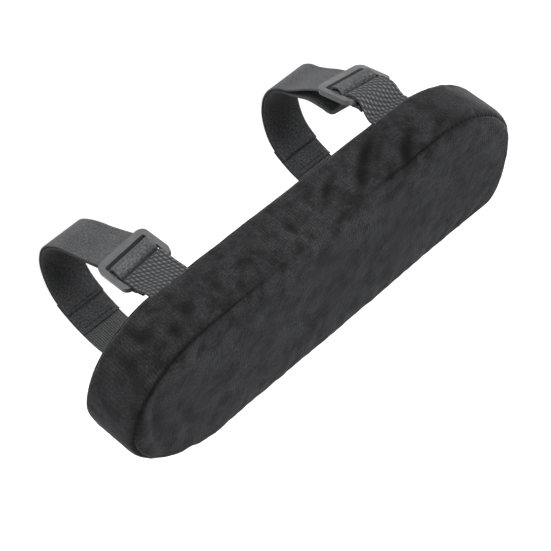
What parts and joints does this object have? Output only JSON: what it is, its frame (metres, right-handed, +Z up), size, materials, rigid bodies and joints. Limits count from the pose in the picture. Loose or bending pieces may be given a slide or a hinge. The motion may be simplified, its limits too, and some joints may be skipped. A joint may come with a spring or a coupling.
{
  "type": "chair armrest pad",
  "caption": "Slim foam armrest pad in a zipped velour cover, with buckled elastic strap loops that go round a chair's arm.",
  "frame": {"origin": "centre of the underside, which rests on the chair's arm", "axes": "+X along the pad, +Y across it towards the buckles, +Z up through the arm-contact face; the strap loops hang below the origin"},
  "size_m": [0.26, 0.1001, 0.1291],
  "materials": {
    "velour": "black short-pile velour",
    "foam": "open-cell memory foam",
    "webbing": "coarse dark grey webbing",
    "elastic": "fine-ribbed dark grey elastic",
    "buckle": "satin dark grey moulded plastic",
    "thread": "black sewing thread",
    "zip_tape": "black woven tape",
    "zip_coil": "black nylon coil",
    "zip_metal": "black enamelled zinc"
  },
  "bodies": {
    "pad": {"foam_core": "foam", "cover_side_band": "velour", "cover_bottom_panel": "velour", "bottom_seam_thread": "thread", "rear_upper_webbing": "webbing", "rear_lower_webbing": "webbing", "front_upper_webbing": "webbing", "front_lower_webbing": "webbing", "zip_upper_tape": "zip_tape", "zip_lower_tape": "zip_tape", "zip_upper_coil": "zip_coil", "zip_lower_coil": "zip_coil", "zip_closed_stop": "zip_metal", "zip_open_stop": "zip_metal"},
    "contact_panel": {"cover_top_panel": "velour", "top_seam_thread": "thread"},
    "rear_loop": {"rear_buckle": "buckle", "rear_fold_stitch": "thread", "rear_overlap_stitch": "thread"},
    "rear_band": {"rear_elastic": "elastic", "rear_tail_hem_stitch": "thread"},
    "front_loop": {"front_buckle": "buckle", "front_fold_stitch": "thread", "front_overlap_stitch": "thread"},
    "front_band": {"front_elastic": "elastic", "front_tail_hem_stitch": "thread"},
    "slider": {"zip_slider": "zip_metal"},
    "pull_tab": {"zip_pull_tab": "zip_metal"}
  },
  "joints": [
    {"name": "foam_press", "type": "slide", "parent": "pad", "child": "contact_panel", "axis": [0, 0, -1], "range_m": [0, 0.008], "stiffness_N_per_m": 3000, "deforming": ["foam_core", "cover_side_band"]},
    {"name": "rear_loop_tilt", "type": "hinge", "parent": "pad", "child": "rear_loop", "pos_m": [-0.07, 0, 0], "axis": [0, 1, 0], "range_deg": [-20, 20], "deforming": ["rear_upper_webbing", "rear_lower_webbing"]},
    {"name": "rear_strap_adjust", "type": "slide", "parent": "rear_loop", "child": "rear_band", "axis": [0, 0, 1], "range_m": [0, 0.02], "deforming": ["rear_elastic"]},
    {"name": "front_loop_tilt", "type": "hinge", "parent": "pad", "child": "front_loop", "pos_m": [0.076, 0, 0], "axis": [0, 1, 0], "range_deg": [-20, 20], "deforming": ["front_upper_webbing", "front_lower_webbing"]},
    {"name": "front_strap_adjust", "type": "slide", "parent": "front_loop", "child": "front_band", "axis": [0, 0, 1], "range_m": [0, 0.02], "deforming": ["front_elastic"]},
    {"name": "zip_travel", "type": "slide", "parent": "pad", "child": "slider", "axis": [-1, 0, 0], "range_m": [0, 0.145]},
    {"name": "pull_tab_swing", "type": "hinge", "parent": "slider", "child": "pull_tab", "pos_m": [0.09, -0.04395, 0.017], "axis": [0, 0, 1], "range_deg": [0, 170]}
  ]
}
